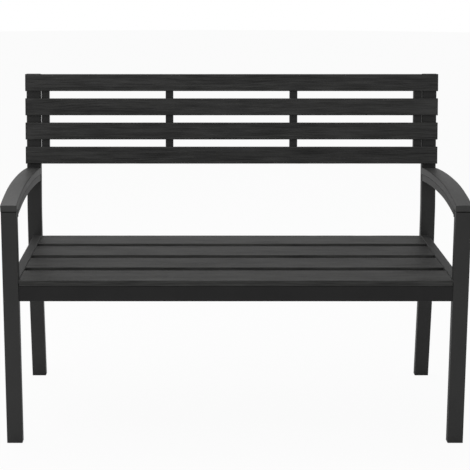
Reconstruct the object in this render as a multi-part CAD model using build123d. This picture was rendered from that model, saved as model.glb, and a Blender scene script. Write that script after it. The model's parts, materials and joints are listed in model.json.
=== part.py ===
from build123d import *
import os
from math import asin, cos, radians, sin

# Garden bench of powder-coated steel tube, in millimetres.
# Two welded side frames carry a seat panel and a back panel, which are bolted on.
# +X is to the right of someone who faces the bench, +Y is to the rear and +Z is up.
# While it is drawn, Y is 0 at the front legs' front faces and Z is 0 on the ground.
# Every side piece is drawn for the right side and mirrored for the left one.

# The bench as a whole
bench_width = 1180.0        # outer face to outer face of the legs
seat_height = 434.0         # top of the seat slats
seat_reach = 492.0          # front face of the front legs to front face of the rear legs
back_height = 901.0         # upper front edge of the top back slat

# Tube of the legs and of the side rails
leg_width = 40.0            # along the bench
leg_depth = 25.0
leg_wall = 1.5
leg_corner = 2.5            # outside radius of the tube's corners

# Rear legs: splayed below the seat, upright beside it, leaning back above the knee
splay_reach = 23.3          # how far the foot stands behind the upright stretch
splay_height = 225.0
knee_height = 515.0
recline_angle = 6.9         # degrees from upright
leg_bend_radius = 250.0     # on the tube's centre line

# Arms: a tube arched between the front leg and the rear leg, with a pad on it
arm_front_height = 628.5    # upper surface of the pad over the front leg's front face
arm_peak_height = 649.6
arm_rear_height = 633.5     # at seat_reach behind the front face
arm_peak_reach = 208.0      # peak of the arch behind the front leg's front face
arm_tube_height = 20.0
arm_wall = 1.5
pad_thickness = 18.5
pad_overhang = 1.0          # past the leg at the front and on both sides
pad_corner = 2.0
pad_end_round = 1.8

# Side rails, flush with the seat, between a front leg and a rear leg
side_rail_width = 25.0
side_rail_height = 40.0
side_rail_inset = 15.0      # outer face of the rail inside the outer face of the legs

# Seat panel: a frame of tube with folded sheet slats on it
seat_slat_count = 4
seat_slat_height = 15.0
seat_slat_gap = 30.0
seat_slat_sheet = 1.0
seat_slat_corner = 1.5
seat_slat_lip = 9.0         # turned in under each edge
seat_slat_play = 1.5        # between a slat's end and the side rail
seat_front_setback = 1.0    # seat edge behind the legs' front faces
seat_rail_depth = 20.0
seat_rail_height = 40.0
seat_rail_setback = 1.0     # front rail behind the front slat's edge
seat_tube_wall = 1.2
seat_tube_corner = 2.0
middle_bearer_height = 20.0
panel_play = 0.3            # between the seat panel's rails and the side frames

# Back panel: slats in front of the rear legs, on uprights behind them.
# The slats fill the back from just above the arms to its top.
back_slat_count = 4
back_arm_room = 10.2        # from an arm's rear end up to the lowest slat
back_gap_share = 0.4163     # gap between two slats, as a share of a slat's height
back_slat_depth = 15.0
back_slat_wall = 1.0
back_slat_corner = 2.0
back_slat_overhang = 1.5    # past the outer face of the rear leg
upright_width = 22.0
upright_depth = 20.0
upright_wall = 1.2
upright_corner = 2.0
upright_count = 4
upright_gap = 3.0           # between an end upright and the rear leg
upright_end_inset = 6.0     # inside the outer edges of the top and bottom slats

# Plastic feet, caps and plugs
plug_clearance = 0.2        # all round, inside a tube
foot_thickness = 3.0
foot_insert = 18.0
cap_thickness = 3.0
cap_insert = 14.0
cap_chamfer = 1.2
cap_rise = 1.2              # of a leg's cap above the top slat
slat_plug_thickness = 2.0
slat_plug_insert = 12.0
upright_plug_thickness = 1.5
upright_plug_insert = 10.0
plug_edge_round = 0.6

# Bolts, washers and rivet nuts
bolt_radius = 3.0
bolt_length = 35.0
bolt_head_radius = 5.25
bolt_head_height = 3.3
bolt_head_round = 1.4
bolt_tip_chamfer = 0.5
socket_width = 4.0          # across the flats
socket_depth = 2.0
bolt_hole_radius = 3.3
washer_radius = 6.25
washer_bore_radius = 3.2
washer_thickness = 1.6
nut_flange_radius = 5.0
nut_flange_thickness = 1.0
nut_body_radius = 4.4
nut_length = 10.5           # under the flange
nut_thread_radius = 3.05
nut_clearance = 0.1
nut_flange_hole_radius = 5.6
seat_bolt_shares = (0.18, 0.82)     # of the side rail's length

# Screws that hold an arm pad from below
screw_radius = 2.0
screw_head_radius = 4.0
screw_head_height = 2.6
screw_head_round = 1.0
screw_bite = 11.0           # into the pad
screw_hole_radius = 2.3
screw_pilot_clearance = 0.05
screw_recess_radius = 1.2
screw_recess_depth = 1.2
arm_screw_shares = (0.26, 0.74)     # of seat_reach

# Allowance by which cutting tools run past what they cut
overrun = 5.0

# Values worked out from the sizes above
half_width = bench_width / 2
leg_x = half_width - leg_width / 2
leg_inner_x = half_width - leg_width
rail_outer_x = half_width - side_rail_inset
rail_inner_x = rail_outer_x - side_rail_width
slat_seat_z = seat_height - seat_slat_height
slat_half_length = rail_inner_x - seat_slat_play
seat_slat_width = (seat_reach - (seat_slat_count - 1) * seat_slat_gap) / seat_slat_count
front_rail_y = seat_front_setback + seat_rail_setback
rear_rail_y = seat_reach - seat_rail_depth - seat_rail_setback
bearer_x = rail_inner_x - seat_rail_depth / 2
upright_x = leg_inner_x - upright_gap - upright_width / 2
upright_pitch = 2 * upright_x / (upright_count - 1)
middle_x = upright_pitch / 2
recline = radians(recline_angle)
screw_length = arm_tube_height + screw_bite

# The front faces of the rear legs above the knee lie in this plane.
# Its x runs along the bench, its y up the back and its z to the front.
knee_centre = Vector(0, seat_reach + leg_depth / 2, knee_height)
back_normal = Vector(0, -cos(recline), sin(recline))
back_plane = Plane(origin=knee_centre + back_normal * (leg_depth / 2), x_dir=(1, 0, 0), z_dir=back_normal)
back_top = (back_height - back_plane.origin.Z - back_slat_depth * sin(recline)) / cos(recline)
back_bottom = (arm_rear_height + back_arm_room - back_plane.origin.Z) / cos(recline)
back_slat_height = (back_top - back_bottom) / (back_slat_count + (back_slat_count - 1) * back_gap_share)
back_slat_gap = back_slat_height * back_gap_share
post_top = back_top + cap_rise - cap_thickness


def on_back(x, height, out):
    """A point given along the bench, up the back and out from the rear legs' front faces."""
    return back_plane.from_local_coords(Vector(x, height, out))


def block(x_span, y_span, z_span):
    """A box between two values on each axis."""
    sizes = [high - low for low, high in (x_span, y_span, z_span)]
    middles = [(high + low) / 2 for low, high in (x_span, y_span, z_span)]
    return Pos(*middles) * Box(*sizes)


def ring_face(plane, width, depth, wall, corner):
    """Cross-section of a rectangular tube with rounded corners, centred on a plane."""
    outside = RectangleRounded(width, depth, corner)
    inside = RectangleRounded(width - 2 * wall, depth - 2 * wall, corner - wall)
    return plane * (outside - inside)


def bore_face(plane, width, depth, wall, corner):
    """Cross-section of a plug that fills a tube's bore but for its clearance."""
    inset = wall + plug_clearance
    return plane * RectangleRounded(width - 2 * inset, depth - 2 * inset, corner - wall)


def straight_tube(start, end, width, depth, wall, corner, across=(1, 0, 0)):
    """A tube between two points, with its width along the direction across."""
    run = Vector(*end) - Vector(*start)
    plane = Plane(origin=start, x_dir=across, z_dir=run)
    return extrude(ring_face(plane, width, depth, wall, corner), amount=run.length)


def drill(plane, radius, depth):
    """A round cutter that starts on a plane and runs along its z."""
    return plane * extrude(Circle(radius), amount=depth)


def mirrored(shape):
    """The left-hand piece of a pair."""
    return mirror(shape, about=Plane.YZ)


def leg_ring(plane):
    """Cross-section of a leg."""
    return ring_face(plane, leg_width, leg_depth, leg_wall, leg_corner)


# Arch of the arms: two arcs that meet level at the peak
def arch_radius(reach, drop):
    """Radius of an arc that is level at the peak and falls by drop over reach."""
    return (reach * reach + drop * drop) / (2 * drop)


front_arch_radius = arch_radius(arm_peak_reach, arm_peak_height - arm_front_height)
rear_arch_radius = arch_radius(seat_reach - arm_peak_reach, arm_peak_height - arm_rear_height)


def arch_frame(reach, offset):
    """Plane on the arch, offset below its upper surface, at a distance from the front.

    Its z points out of the arch, square to its surface, and its x along the bench.
    """
    radius = front_arch_radius if reach < arm_peak_reach else rear_arch_radius
    lean = asin((reach - arm_peak_reach) / radius)
    out = Vector(0, sin(lean), cos(lean))
    centre = Vector(leg_x, arm_peak_reach, arm_peak_height - radius)
    return Plane(origin=centre + out * (radius - offset), x_dir=(1, 0, 0), z_dir=out)


def arch_path(offset):
    """The arch's line, offset below its upper surface, run past both of its ends."""
    stations = (-overrun, arm_peak_reach / 2, arm_peak_reach, (arm_peak_reach + seat_reach) / 2,
                seat_reach + leg_depth)
    points = [arch_frame(reach, offset).origin for reach in stations]
    front_arc = ThreePointArc(points[0], points[1], points[2])
    rear_arc = ThreePointArc(points[2], points[3], points[4])
    return Wire([front_arc.edge(), rear_arc.edge()])


def along_arch(section, offset):
    """Sweep a section, drawn about the origin with x along the bench, along the arch."""
    path = arch_path(offset)
    plane = Plane(origin=path @ 0, x_dir=(1, 0, 0), z_dir=path % 0)
    return sweep(plane * section, path=path)


def pad_space():
    """The arched space that the pad fills, made wider than the pad."""
    section = Rectangle(leg_width + 2 * overrun, pad_thickness)
    return along_arch(section, pad_thickness / 2)


# Front legs
def front_leg():
    """An upright tube, its top cut to the curve of the arm pad."""
    start = (leg_x, leg_depth / 2, foot_thickness)
    end = (leg_x, leg_depth / 2, arm_peak_height - pad_thickness / 2)
    tube = straight_tube(start, end, leg_width, leg_depth, leg_wall, leg_corner)
    tube -= pad_space()
    return tube.solids().sort_by(Axis.Z)[0]


# Rear legs
foot_run = Vector(0, -splay_reach, splay_height)
foot_start = Vector(leg_x, seat_reach + splay_reach + leg_depth / 2, 0)


def rear_leg_path():
    """Centre line: from below the ground, past the two bends, to the top of the back."""
    down = foot_run.normalized() * -overrun
    bend = Vector(leg_x, seat_reach + leg_depth / 2, splay_height)
    knee = knee_centre + Vector(leg_x, 0, 0)
    top = knee + Vector(0, sin(recline), cos(recline)) * post_top
    return FilletPolyline(foot_start + down, bend, knee, top, radius=leg_bend_radius)


def behind_rear_leg():
    """The space behind the rear leg's front face, bent as the leg is and wider than it."""
    path = rear_leg_path()
    plane = Plane(origin=path @ 0, x_dir=(1, 0, 0), z_dir=path % 0)
    section = Pos(0, leg_depth) * Rectangle(2 * leg_width, 3 * leg_depth)
    return sweep(plane * section, path=path)


def slat_middle(index):
    """Height of a slat's centre line up the back, counted from the top."""
    return back_top - back_slat_height / 2 - index * (back_slat_height + back_slat_gap)


def back_bolt_plane(height):
    """Plane on the rear face of the right rear leg, its z to the front."""
    origin = on_back(leg_x, height, -leg_depth)
    return Plane(origin=origin, x_dir=(1, 0, 0), z_dir=back_normal)


def back_bolt_heights():
    """Middles of the bottom and top slats, up the back."""
    return [slat_middle(back_slat_count - 1), slat_middle(0)]


def rear_leg():
    """A bent tube with two holes for the back panel's bolts."""
    path = rear_leg_path()
    plane = Plane(origin=path @ 0, x_dir=(1, 0, 0), z_dir=path % 0)
    tube = sweep(leg_ring(plane), path=path)
    tube -= block((0, bench_width), (0, 2 * seat_reach), (-seat_height, foot_thickness))
    for height in back_bolt_heights():
        plane = back_bolt_plane(height)
        tube -= drill(plane.offset(-overrun), bolt_hole_radius, overrun + leg_depth / 2)
        tube -= drill(plane.offset(leg_depth / 2), nut_flange_hole_radius, leg_depth)
    return tube


# Plastic feet and caps of the legs
def foot(start, run):
    """A flat foot under a leg, with a stub inside its tube."""
    plane = Plane(origin=start - run.normalized() * overrun, x_dir=(1, 0, 0), z_dir=run)
    reach = foot_thickness + foot_insert + 3 * overrun
    pad = extrude(plane * RectangleRounded(leg_width, leg_depth, leg_corner), amount=reach)
    stub = extrude(bore_face(plane, leg_width, leg_depth, leg_wall, leg_corner), amount=reach)
    wide = (0, bench_width)
    deep = (-seat_reach, 2 * seat_reach)
    pad &= block(wide, deep, (0, foot_thickness))
    stub &= block(wide, deep, (foot_thickness, foot_thickness + foot_insert))
    return pad + stub


def front_foot():
    return foot(Vector(leg_x, leg_depth / 2, 0), Vector(0, 0, splay_height))


def rear_foot():
    return foot(foot_start, foot_run)


def rear_leg_cap():
    """A chamfered cap on a rear leg, with a stub inside its tube."""
    top = on_back(leg_x, post_top, -leg_depth / 2)
    plane = Plane(origin=top, x_dir=(1, 0, 0), z_dir=(0, sin(recline), cos(recline)))
    head = extrude(plane * RectangleRounded(leg_width, leg_depth, leg_corner), amount=cap_thickness)
    rim = head.faces().sort_by(Axis.Z)[-1].edges()
    head = chamfer(rim, cap_chamfer)
    stub = bore_face(plane, leg_width, leg_depth, leg_wall, leg_corner)
    return head + extrude(stub, amount=-cap_insert)


# Arms
def arm_screw_planes():
    """Planes of the screw heads, whose rims bear on the arched underside of the arm tube."""
    rise = screw_head_radius * screw_head_radius / (2 * front_arch_radius)
    depth = pad_thickness + arm_tube_height + rise
    return [arch_frame(share * seat_reach, depth) for share in arm_screw_shares]


def arm_tube():
    """The arched tube, cut to the front leg's rear face and to the rear leg."""
    section = ring_face(Plane.XY, leg_width, arm_tube_height, arm_wall, leg_corner)
    tube = along_arch(section, pad_thickness + arm_tube_height / 2)
    tube -= block((0, bench_width), (-seat_reach, leg_depth), (0, bench_width))
    tube -= behind_rear_leg()
    for plane in arm_screw_planes():
        tube -= drill(plane.offset(-overrun), screw_hole_radius, arm_tube_height + 2 * overrun)
    return tube


def arm_pad():
    """A solid arched pad, rounded at its front end, that stops against the rear leg."""
    width = leg_width + 2 * pad_overhang
    pad = along_arch(RectangleRounded(width, pad_thickness, pad_corner), pad_thickness / 2)
    pad -= block((0, bench_width), (-seat_reach, -pad_overhang), (0, bench_width))
    pad -= behind_rear_leg()
    pad = fillet(pad.faces().sort_by(Axis.Y)[0].edges(), pad_end_round)
    for plane in arm_screw_planes():
        pad -= drill(plane, screw_radius + screw_pilot_clearance, screw_length)
    return pad


def arm_screws():
    """Pan-head screws from below, through the tube and into the pad."""
    head = extrude(Circle(screw_head_radius), amount=-screw_head_height)
    head = fillet(head.faces().sort_by(Axis.Z)[0].edges(), screw_head_round)
    recess = extrude(Circle(screw_recess_radius), amount=screw_recess_depth)
    head -= Pos(0, 0, -screw_head_height) * recess
    screw = head + extrude(Circle(screw_radius), amount=screw_length)
    return [plane * screw for plane in arm_screw_planes()]


# Side rails
def seat_bolt_planes():
    """Planes on the outer face of the side rail, their z towards the seat panel."""
    height = (seat_height - side_rail_height + slat_seat_z) / 2
    planes = []
    for share in seat_bolt_shares:
        origin = (rail_outer_x, leg_depth + share * (seat_reach - leg_depth), height)
        planes.append(Plane(origin=origin, x_dir=(0, 1, 0), z_dir=(-1, 0, 0)))
    return planes


def side_rail():
    """A tube between the front leg and the rear leg, with holes for the seat bolts."""
    x = (rail_outer_x + rail_inner_x) / 2
    z = seat_height - side_rail_height / 2
    start = (x, leg_depth, z)
    end = (x, seat_reach + leg_depth, z)
    rail = straight_tube(start, end, side_rail_width, side_rail_height, leg_wall, leg_corner)
    rail -= behind_rear_leg()
    for plane in seat_bolt_planes():
        rail -= drill(plane.offset(-overrun), bolt_hole_radius, overrun + side_rail_width / 2)
        rail -= drill(plane.offset(side_rail_width / 2), nut_flange_hole_radius, side_rail_width)
    return rail


# Seat panel
def seat_tube(start, end, width, height):
    """A tube of the seat frame, along the bench or square to it."""
    across = (1, 0, 0) if start[0] == end[0] else (0, 1, 0)
    return straight_tube(start, end, width, height, seat_tube_wall, seat_tube_corner, across)


def seat_front_rail():
    """The rail that shows under the front slat, between the front legs."""
    x = leg_inner_x - panel_play
    y = front_rail_y + seat_rail_depth / 2
    z = slat_seat_z - seat_rail_height / 2
    return seat_tube((-x, y, z), (x, y, z), seat_rail_depth, seat_rail_height)


def seat_rear_rail():
    x = rail_inner_x - panel_play
    y = rear_rail_y + seat_rail_depth / 2
    z = slat_seat_z - seat_rail_height / 2
    return seat_tube((-x, y, z), (x, y, z), seat_rail_depth, seat_rail_height)


def seat_bearer(x, height):
    """A tube from the front rail to the rear rail, under the slats."""
    z = slat_seat_z - height / 2
    return seat_tube((x, front_rail_y + seat_rail_depth, z), (x, rear_rail_y, z), seat_rail_depth, height)


def seat_end_bearer():
    """The bearer beside the side rail, with holes for the rivet nuts."""
    bearer = seat_bearer(bearer_x, seat_rail_height)
    for plane in seat_bolt_planes():
        start = plane.offset(side_rail_width - nut_clearance)
        bearer -= drill(start, nut_body_radius + nut_clearance, seat_rail_depth / 2)
    return bearer


def seat_middle_bearer():
    return seat_bearer(middle_x, middle_bearer_height)


def seat_slat(index):
    """A folded sheet slat, open below between its two lips, counted from the front."""
    y = seat_front_setback + seat_slat_width / 2 + index * (seat_slat_width + seat_slat_gap)
    z = slat_seat_z + seat_slat_height / 2
    plane = Plane(origin=(-slat_half_length, y, z), x_dir=(0, 1, 0), z_dir=(1, 0, 0))
    section = ring_face(Plane.XY, seat_slat_width, seat_slat_height, seat_slat_sheet, seat_slat_corner)
    opening = Rectangle(seat_slat_width - 2 * seat_slat_lip, seat_slat_height)
    section -= Pos(0, -seat_slat_height / 2) * opening
    return extrude(plane * section, amount=2 * slat_half_length)


# Back panel
slat_tube_end = half_width + back_slat_overhang - slat_plug_thickness


def back_slat(index):
    """A flat tube across the fronts of the rear legs, counted from the top."""
    middle = slat_middle(index)
    start = on_back(-slat_tube_end, middle, back_slat_depth / 2)
    end = on_back(slat_tube_end, middle, back_slat_depth / 2)
    slat = straight_tube(start, end, back_slat_height, back_slat_depth, back_slat_wall, back_slat_corner,
                         back_plane.y_dir)
    if middle in back_bolt_heights():
        plane = back_bolt_plane(middle).offset(leg_depth - nut_clearance)
        hole = drill(plane, nut_body_radius + nut_clearance, back_slat_depth / 2)
        slat -= hole
        slat -= mirrored(hole)
    return slat


def tube_plug(plane, width, depth, wall, corner, thickness, insert):
    """A plug on the end of a tube: a rounded head beyond the plane and a stub before it."""
    head = extrude(plane * RectangleRounded(width, depth, corner), amount=thickness)
    outer = head.faces().sort_by(Axis(plane.origin, plane.z_dir))[-1]
    head = fillet(outer.edges(), plug_edge_round)
    return head + extrude(bore_face(plane, width, depth, wall, corner), amount=-insert)


def back_slat_plugs():
    """The plugs in the right-hand ends of the back slats."""
    plugs = []
    for index in range(back_slat_count):
        origin = on_back(slat_tube_end, slat_middle(index), back_slat_depth / 2)
        plane = Plane(origin=origin, x_dir=back_plane.y_dir, z_dir=(1, 0, 0))
        plugs.append(tube_plug(plane, back_slat_height, back_slat_depth, back_slat_wall, back_slat_corner,
                               slat_plug_thickness, slat_plug_insert))
    return plugs


upright_low = back_bottom + upright_end_inset + upright_plug_thickness
upright_high = back_top - upright_end_inset - upright_plug_thickness


def back_upright(x):
    """A tube behind the slats, which are welded to it."""
    start = on_back(x, upright_low, -upright_depth / 2)
    end = on_back(x, upright_high, -upright_depth / 2)
    return straight_tube(start, end, upright_width, upright_depth, upright_wall, upright_corner)


def back_end_upright():
    """The upright just inside a rear leg."""
    return back_upright(upright_x)


def back_middle_upright():
    return back_upright(middle_x)


def upright_plugs(x):
    """The plugs in the lower and upper ends of one upright."""
    plugs = []
    for height, sense in ((upright_low, -1), (upright_high, 1)):
        origin = on_back(x, height, -upright_depth / 2)
        plane = Plane(origin=origin, x_dir=(1, 0, 0), z_dir=back_plane.y_dir * sense)
        plugs.append(tube_plug(plane, upright_width, upright_depth, upright_wall, upright_corner,
                               upright_plug_thickness, upright_plug_insert))
    return plugs


# Fasteners, each drawn with its z along the bolt and z = 0 on the outer face of the tube
def bolt():
    """A button-head bolt with a hexagon socket, over its washer."""
    head = extrude(Circle(bolt_head_radius), amount=-bolt_head_height)
    head = fillet(head.faces().sort_by(Axis.Z)[0].edges(), bolt_head_round)
    socket = extrude(RegularPolygon(socket_width / 2, 6, major_radius=False), amount=socket_depth)
    head -= Pos(0, 0, -bolt_head_height) * socket
    shank = extrude(Circle(bolt_radius), amount=bolt_length)
    shank = chamfer(shank.faces().sort_by(Axis.Z)[-1].edges(), bolt_tip_chamfer)
    return Pos(0, 0, -washer_thickness) * (head + shank)


def washer():
    """A plain washer under a bolt head."""
    return extrude(Circle(washer_radius) - Circle(washer_bore_radius), amount=-washer_thickness)


def rivet_nut(grip):
    """A blind nut whose flange ends grip behind the outer face."""
    flange = extrude(Circle(nut_flange_radius), amount=-nut_flange_thickness)
    body = extrude(Circle(nut_body_radius), amount=nut_length)
    thread = Pos(0, 0, -overrun) * extrude(Circle(nut_thread_radius), amount=nut_length + 2 * overrun)
    return Pos(0, 0, grip) * (flange + body - thread)


def placed_twice(planes, shape):
    """A fastener on each plane of the right side, and its mirror image on the left."""
    right = [plane * shape for plane in planes]
    return Compound(right + [mirrored(piece) for piece in right])


def bench():
    """Every piece by its name."""
    pieces = {}
    pairs = {"front_leg": front_leg, "rear_leg": rear_leg, "arm_tube": arm_tube, "arm_pad": arm_pad,
             "side_rail": side_rail, "front_foot": front_foot, "rear_foot": rear_foot,
             "rear_leg_cap": rear_leg_cap, "seat_end_bearer": seat_end_bearer,
             "seat_middle_bearer": seat_middle_bearer, "back_end_upright": back_end_upright,
             "back_middle_upright": back_middle_upright}
    for name, make in pairs.items():
        right = make()
        pieces[name + "_right"] = right
        pieces[name + "_left"] = mirrored(right)
    pieces["seat_front_rail"] = seat_front_rail()
    pieces["seat_rear_rail"] = seat_rear_rail()
    for index in range(seat_slat_count):
        pieces["seat_slat_" + str(index + 1)] = seat_slat(index)
    for index in range(back_slat_count):
        pieces["back_slat_" + str(index + 1)] = back_slat(index)
    plugs = back_slat_plugs()
    pieces["back_slat_plugs_right"] = Compound(plugs)
    pieces["back_slat_plugs_left"] = Compound([mirrored(plug) for plug in plugs])
    stubs = upright_plugs(upright_x) + upright_plugs(middle_x)
    pieces["upright_plugs"] = Compound(stubs + [mirrored(stub) for stub in stubs])
    screws = arm_screws()
    pieces["arm_pad_screws"] = Compound(screws + [mirrored(screw) for screw in screws])
    back_planes = [back_bolt_plane(height) for height in back_bolt_heights()]
    joints = (("back", back_planes, leg_depth), ("seat", seat_bolt_planes(), side_rail_width))
    for name, planes, grip in joints:
        pieces[name + "_bolts"] = placed_twice(planes, bolt())
        pieces[name + "_washers"] = placed_twice(planes, washer())
        pieces[name + "_rivet_nuts"] = placed_twice(planes, rivet_nut(grip))
    return pieces


# The origin is on the ground, in the middle of the bench's outline
pieces = bench()
outline = Compound(list(pieces.values())).bounding_box()
to_origin = Pos(0, -outline.center().Y, 0)
os.makedirs("parts", exist_ok=True)
for name, piece in pieces.items():
    export_step(to_origin * piece, "parts/" + name + ".step")
print("bench", len(pieces), "pieces, size", outline.size, "moved by", -outline.center().Y)
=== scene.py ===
import json
from math import atan2, cos, pi, radians, sin

import bpy
import numpy as np
from bpy.props import FloatProperty, FloatVectorProperty, PointerProperty
from bpy.types import Operator, Panel, PropertyGroup
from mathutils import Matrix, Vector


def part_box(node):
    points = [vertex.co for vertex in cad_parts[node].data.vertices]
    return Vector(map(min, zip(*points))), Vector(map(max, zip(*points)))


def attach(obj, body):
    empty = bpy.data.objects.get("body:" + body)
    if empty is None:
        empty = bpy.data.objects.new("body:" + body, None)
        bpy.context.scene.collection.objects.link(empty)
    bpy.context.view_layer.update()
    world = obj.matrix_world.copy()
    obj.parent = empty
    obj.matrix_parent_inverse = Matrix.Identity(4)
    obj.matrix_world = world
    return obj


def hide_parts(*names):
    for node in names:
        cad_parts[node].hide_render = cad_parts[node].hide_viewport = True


bl_info = {
    "name": "Slatted garden bench",
    "version": (1, 0, 0),
    "blender": (4, 5, 0),
    "location": "3D View > Sidebar > Bench",
    "description": "Dresses a tubular steel garden bench with slats, arm pads, welds and coats",
    "category": "Object",
}

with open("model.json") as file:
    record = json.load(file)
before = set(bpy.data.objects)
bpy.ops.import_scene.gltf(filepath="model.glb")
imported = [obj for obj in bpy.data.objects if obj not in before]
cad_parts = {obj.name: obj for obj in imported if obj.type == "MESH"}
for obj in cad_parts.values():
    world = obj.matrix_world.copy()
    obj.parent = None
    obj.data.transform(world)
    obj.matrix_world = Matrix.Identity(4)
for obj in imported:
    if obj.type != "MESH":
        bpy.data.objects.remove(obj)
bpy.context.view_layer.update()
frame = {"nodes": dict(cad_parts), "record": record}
nodes = frame["nodes"]

SIDES = ("left", "right")
SLATS = (1, 2, 3, 4)
BACK_SEEDS = (47, 54, 61, 68)
SEAT_SEEDS = (147, 154, 161, 168)
SEAT_FRAME = ("seat_front_rail", "seat_rear_rail", "seat_end_bearer_left", "seat_end_bearer_right",
              "seat_middle_bearer_left", "seat_middle_bearer_right")
UPRIGHTS = ("back_end_upright_left", "back_middle_upright_left",
            "back_middle_upright_right", "back_end_upright_right")
SHARP_ANGLE = radians(50)
SENSOR_WIDTH = 36


# Sizes and colours that a user would change

class CoatSettings(PropertyGroup):
    """Colours and gloss of the coats, plastics and plating."""
    frame_colour: FloatVectorProperty(
        name="Frame coat", description="Powder coat of the legs, arms and rails",
        subtype="COLOR", size=3, min=0, max=1, default=(0.0255, 0.0255, 0.0250))
    # Painted shade: the seat panel's rails and bearers take a darker copy of the frame coat, for the
    # shadow under the seat slats.
    panel_shaded_colour: FloatVectorProperty(
        name="Seat frame coat", description="Powder coat of the rails and bearers of the seat panel",
        subtype="COLOR", size=3, min=0, max=1, default=(0.0175, 0.0173, 0.0175))
    seat_colour: FloatVectorProperty(
        name="Seat coat", description="Powder coat of the seat slats",
        subtype="COLOR", size=3, min=0, max=1, default=(0.0345, 0.0345, 0.0335))
    back_colour: FloatVectorProperty(
        name="Back coat", description="Powder coat of the back slats",
        subtype="COLOR", size=3, min=0, max=1, default=(0.0345, 0.0345, 0.0338))
    pad_colour: FloatVectorProperty(
        name="Arm pads", description="Moulded plastic of the arm pads",
        subtype="COLOR", size=3, min=0, max=1, default=(0.0290, 0.0290, 0.0282))
    plug_colour: FloatVectorProperty(
        name="Feet and plugs", description="Plastic of the feet, caps and end plugs",
        subtype="COLOR", size=3, min=0, max=1, default=(0.0130, 0.0130, 0.0132))
    bolt_colour: FloatVectorProperty(
        name="Bolts", description="Black zinc plating of the bolts, washers and screws",
        subtype="COLOR", size=3, min=0, max=1, default=(0.060, 0.060, 0.064))
    nut_colour: FloatVectorProperty(
        name="Rivet nuts", description="Bright zinc plating of the rivet nuts",
        subtype="COLOR", size=3, min=0, max=1, default=(0.55, 0.56, 0.58))
    bolt_roughness: FloatProperty(
        name="Bolt roughness", description="Roughness of the bolts and washers",
        subtype="FACTOR", min=0, max=1, default=0.34)
    screw_roughness: FloatProperty(
        name="Screw roughness", description="Roughness of the screws under the arms",
        subtype="FACTOR", min=0, max=1, default=0.36)
    nut_roughness: FloatProperty(
        name="Nut roughness", description="Roughness of the rivet nuts",
        subtype="FACTOR", min=0, max=1, default=0.30)
    coat_roughness: FloatProperty(
        name="Coat roughness", description="0 is a mirror, 1 is chalk",
        subtype="FACTOR", min=0, max=1, default=0.48)
    frame_shine: FloatProperty(
        name="Frame shine", description="Specular level of the frame's coat; 0.5 is clear varnish",
        subtype="FACTOR", min=0, max=1, default=0.45)
    slat_shine: FloatProperty(
        name="Slat shine", description="Specular level of the slats' coat; 0.5 is clear varnish",
        subtype="FACTOR", min=0, max=1, default=0.25)
    pad_shine: FloatProperty(
        name="Pad shine", description="Specular level of the arm pads; 0.5 is clear varnish",
        subtype="FACTOR", min=0, max=1, default=0.62)
    peel_size: FloatProperty(
        name="Orange peel", description="Width of the ripples in the powder coat",
        unit="LENGTH", min=0.0005, max=0.01, default=0.0022)
    peel_depth: FloatProperty(
        name="Peel depth", description="Height of the ripples in the powder coat",
        unit="LENGTH", min=0, max=0.001, default=0.00006)


class GrainSettings(PropertyGroup):
    """The wood grain that is rolled into the slats."""
    pitch: FloatProperty(
        name="Grain pitch", description="Distance between two grain lines across a slat",
        unit="LENGTH", min=0.002, max=0.02, default=0.0066)
    depth: FloatProperty(
        name="Grain depth", description="Depth of a grain line",
        unit="LENGTH", min=0, max=0.001, default=0.00038)
    length: FloatProperty(
        name="Grain length", description="Length over which a grain line wanders",
        unit="LENGTH", min=0.02, max=1, default=0.19)
    wander: FloatProperty(
        name="Wander", description="Slow sideways drift of the grain lines, in pitches",
        min=0, max=4, default=1.3)
    flutter: FloatProperty(
        name="Flutter", description="Quick sideways drift of the grain lines, in pitches",
        min=0, max=2, default=0.3)
    spread: FloatProperty(
        name="Spread", description="Width of the grooves; a larger value leaves less flat between them",
        min=0.01, max=2, default=0.16)
    fade: FloatProperty(
        name="Fade", description="Share of a groove's depth that comes and goes along it",
        subtype="FACTOR", min=0, max=0.5, default=0.45)
    step_along: FloatProperty(
        name="Step along", description="Mesh step along a slat",
        unit="LENGTH", min=0.001, max=0.02, default=0.0042)
    step_across: FloatProperty(
        name="Step across", description="Mesh step across a slat",
        unit="LENGTH", min=0.0004, max=0.005, default=0.00105)


class SlatSettings(PropertyGroup):
    """Sheet and corner sizes of the slats, which their outer boxes don't give."""
    back_corner: FloatProperty(
        name="Back corner", description="Outside radius of the back slats' corners",
        unit="LENGTH", min=0.0005, max=0.01, default=0.0020)
    seat_corner: FloatProperty(
        name="Seat corner", description="Outside radius of the seat slats' corners",
        unit="LENGTH", min=0.0005, max=0.01, default=0.0015)
    seat_sheet: FloatProperty(
        name="Seat sheet", description="Thickness of the folded sheet of the seat slats",
        unit="LENGTH", min=0.0005, max=0.004, default=0.0010)
    seat_lip: FloatProperty(
        name="Seat lip", description="Width turned in under each edge of a seat slat",
        unit="LENGTH", min=0.002, max=0.03, default=0.0090)
    seat_crown: FloatProperty(
        name="Seat crown", description="How far the middle of a seat slat sinks below its edges",
        unit="LENGTH", min=0, max=0.003, default=0.0004)


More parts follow.
